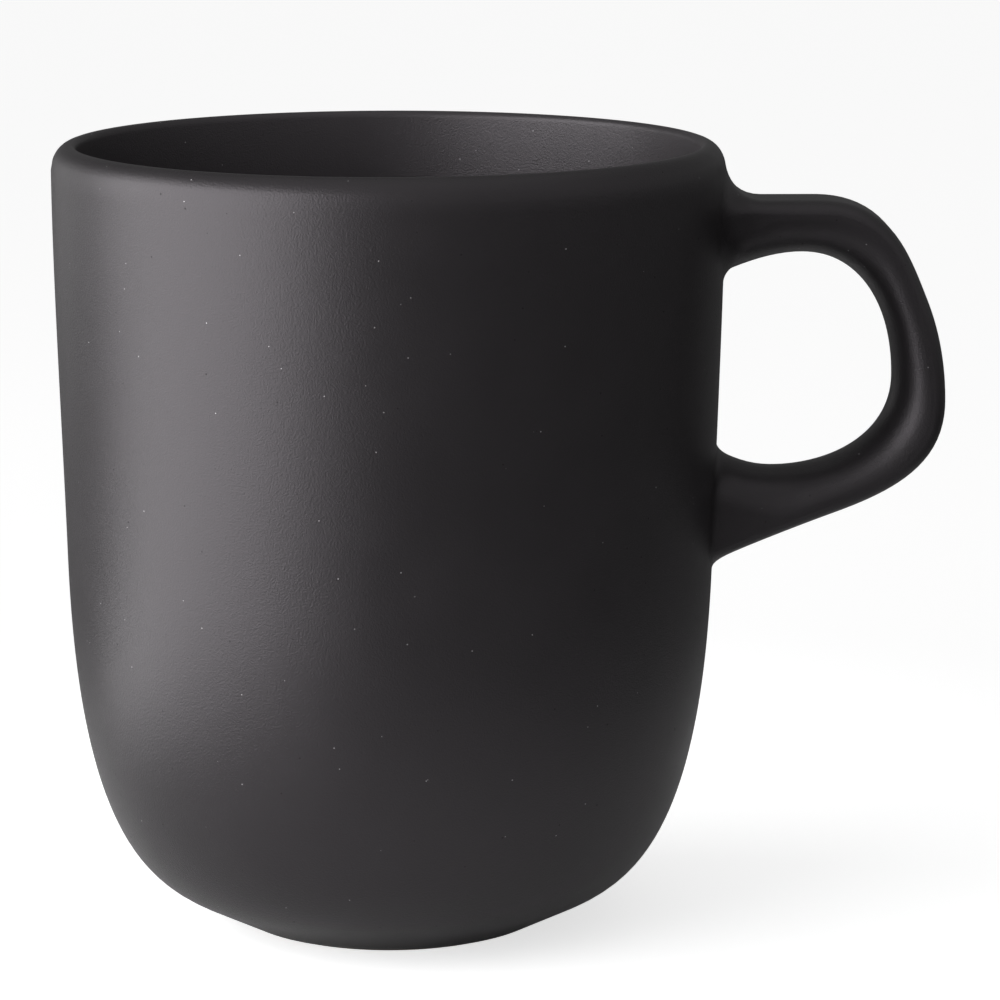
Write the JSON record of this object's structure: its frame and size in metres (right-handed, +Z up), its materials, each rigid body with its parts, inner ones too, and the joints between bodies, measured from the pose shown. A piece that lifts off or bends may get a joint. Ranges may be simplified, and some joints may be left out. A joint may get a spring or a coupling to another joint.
{
  "type": "mug",
  "caption": "Rounded stoneware mug with a small foot ring, soft lip and an ear-shaped strap handle, in a dark matte glaze.",
  "frame": {"origin": "on the cup's axis, in the plane that the foot ring stands on", "axes": "+Z up along the cup's axis; +X from the axis towards the handle; the handle's mid plane is XZ"},
  "size_m": [0.1181, 0.0888, 0.105],
  "materials": {
    "clay": "fired stoneware, bare on the foot ring, fine sandy surface",
    "slip": "fired joining slip, smoothed to a fillet",
    "glaze": "satin matte charcoal glaze with a fine sprayed texture",
    "liner": "satin matte charcoal glaze, poured, a little smoother than the outside"
  },
  "bodies": {
    "root": {"cup_body": "clay", "handle": "clay", "upper_joint_slip": "slip", "lower_joint_slip": "slip", "outer_glaze": "glaze", "liner_glaze": "liner", "base_glaze": "glaze"}
  },
  "joints": []
}
